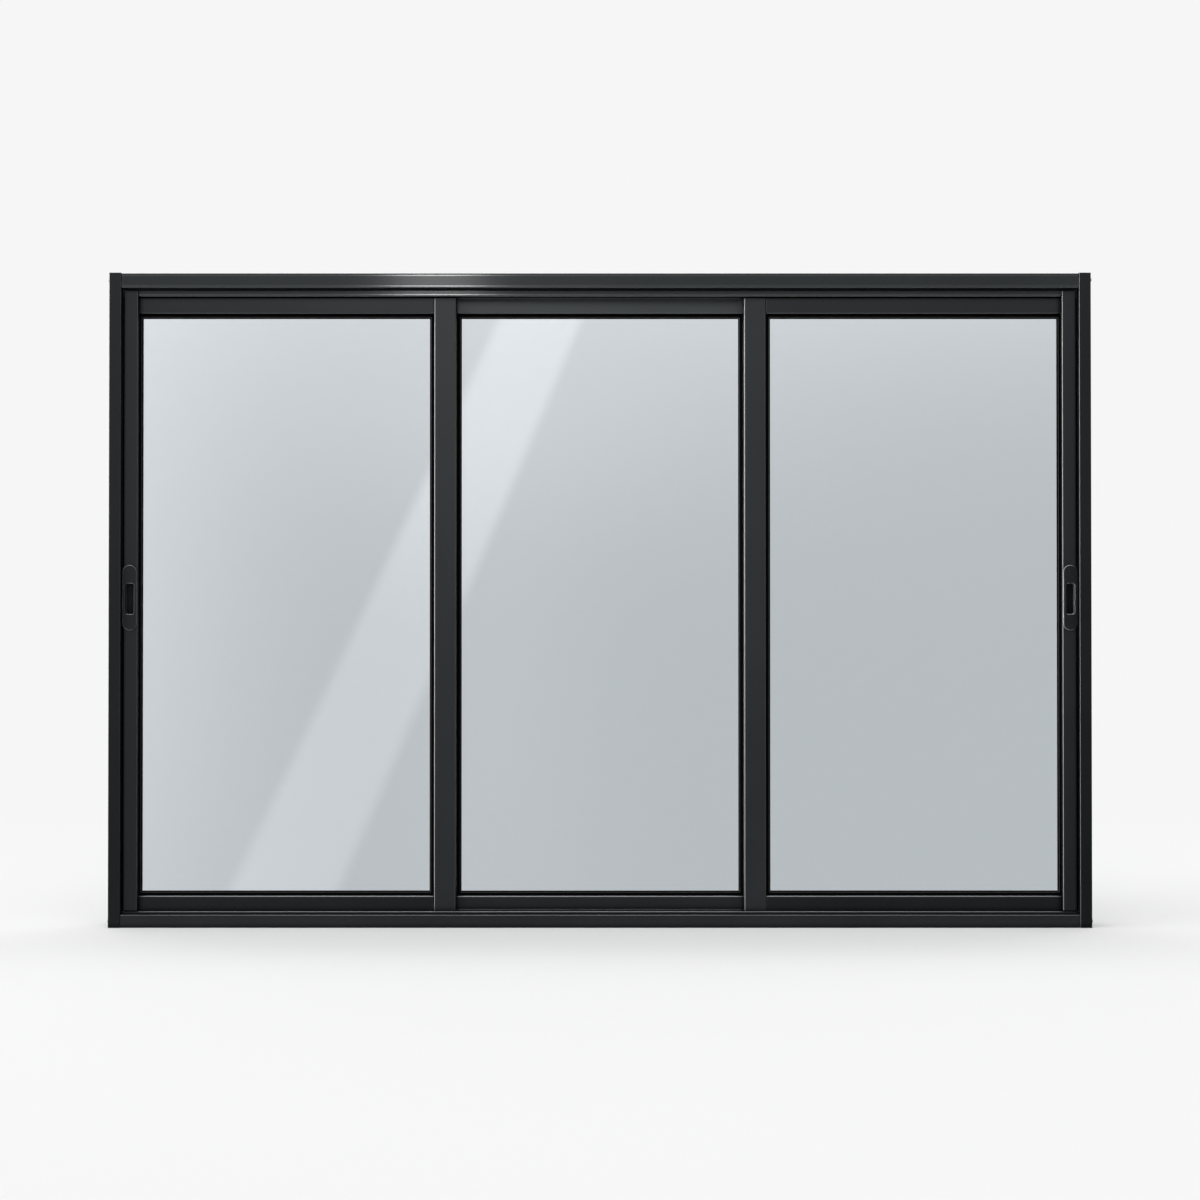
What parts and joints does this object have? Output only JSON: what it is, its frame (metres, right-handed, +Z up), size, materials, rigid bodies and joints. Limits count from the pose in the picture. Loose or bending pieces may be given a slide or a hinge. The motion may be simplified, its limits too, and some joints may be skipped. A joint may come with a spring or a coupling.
{
  "type": "horizontal sliding window",
  "caption": "Dark aluminium sliding window: side sashes with flush pulls slide in the front track, beside a fixed centre light in the rear track.",
  "frame": {"origin": "under the middle of the frame, on the plane that the sill and jambs stand on", "axes": "+X along the window to the right as seen from the room side, +Y from the room side to the outside, +Z up"},
  "size_m": [1.8, 0.076, 1.2],
  "materials": {
    "frame_coat": "satin powder coat, near black",
    "track": "mill finish",
    "pane": "lightly tinted clear glass",
    "gasket": "matt black",
    "pull": "smooth dark cast pull, coated",
    "nylon": "dark nylon",
    "bracket": "zinc plated",
    "pile": "woven pile strip"
  },
  "bodies": {
    "frame": {"sill": "frame_coat", "head": "frame_coat", "left_jamb": "frame_coat", "right_jamb": "frame_coat", "roller_track": "track", "sill_centre_stop": "nylon", "head_centre_stop": "nylon", "left_jamb_seal": "gasket", "right_jamb_seal": "gasket", "fixed_packers": "nylon", "fixed_top_rail": "frame_coat", "fixed_bottom_rail": "frame_coat", "left_fixed_stile": "frame_coat", "right_fixed_stile": "frame_coat", "fixed_glass": "pane", "fixed_gasket": "gasket"},
    "left_sash": {"left_top_rail": "frame_coat", "left_bottom_rail": "frame_coat", "left_handle_stile": "frame_coat", "left_interlock_stile": "frame_coat", "left_glass": "pane", "left_gasket": "gasket", "left_pull_handle": "pull", "left_roller_housings": "bracket", "left_wheels": "nylon", "left_top_guides": "nylon", "left_pile_seal": "pile"},
    "right_sash": {"right_top_rail": "frame_coat", "right_bottom_rail": "frame_coat", "right_handle_stile": "frame_coat", "right_interlock_stile": "frame_coat", "right_glass": "pane", "right_gasket": "gasket", "right_pull_handle": "pull", "right_roller_housings": "bracket", "right_wheels": "nylon", "right_top_guides": "nylon", "right_pile_seal": "pile"}
  },
  "joints": [
    {"name": "left_sash_slide", "type": "slide", "parent": "frame", "child": "left_sash", "axis": [1, 0, 0], "range_m": [0, 0.26]},
    {"name": "right_sash_slide", "type": "slide", "parent": "frame", "child": "right_sash", "axis": [-1, 0, 0], "range_m": [0, 0.26]}
  ]
}
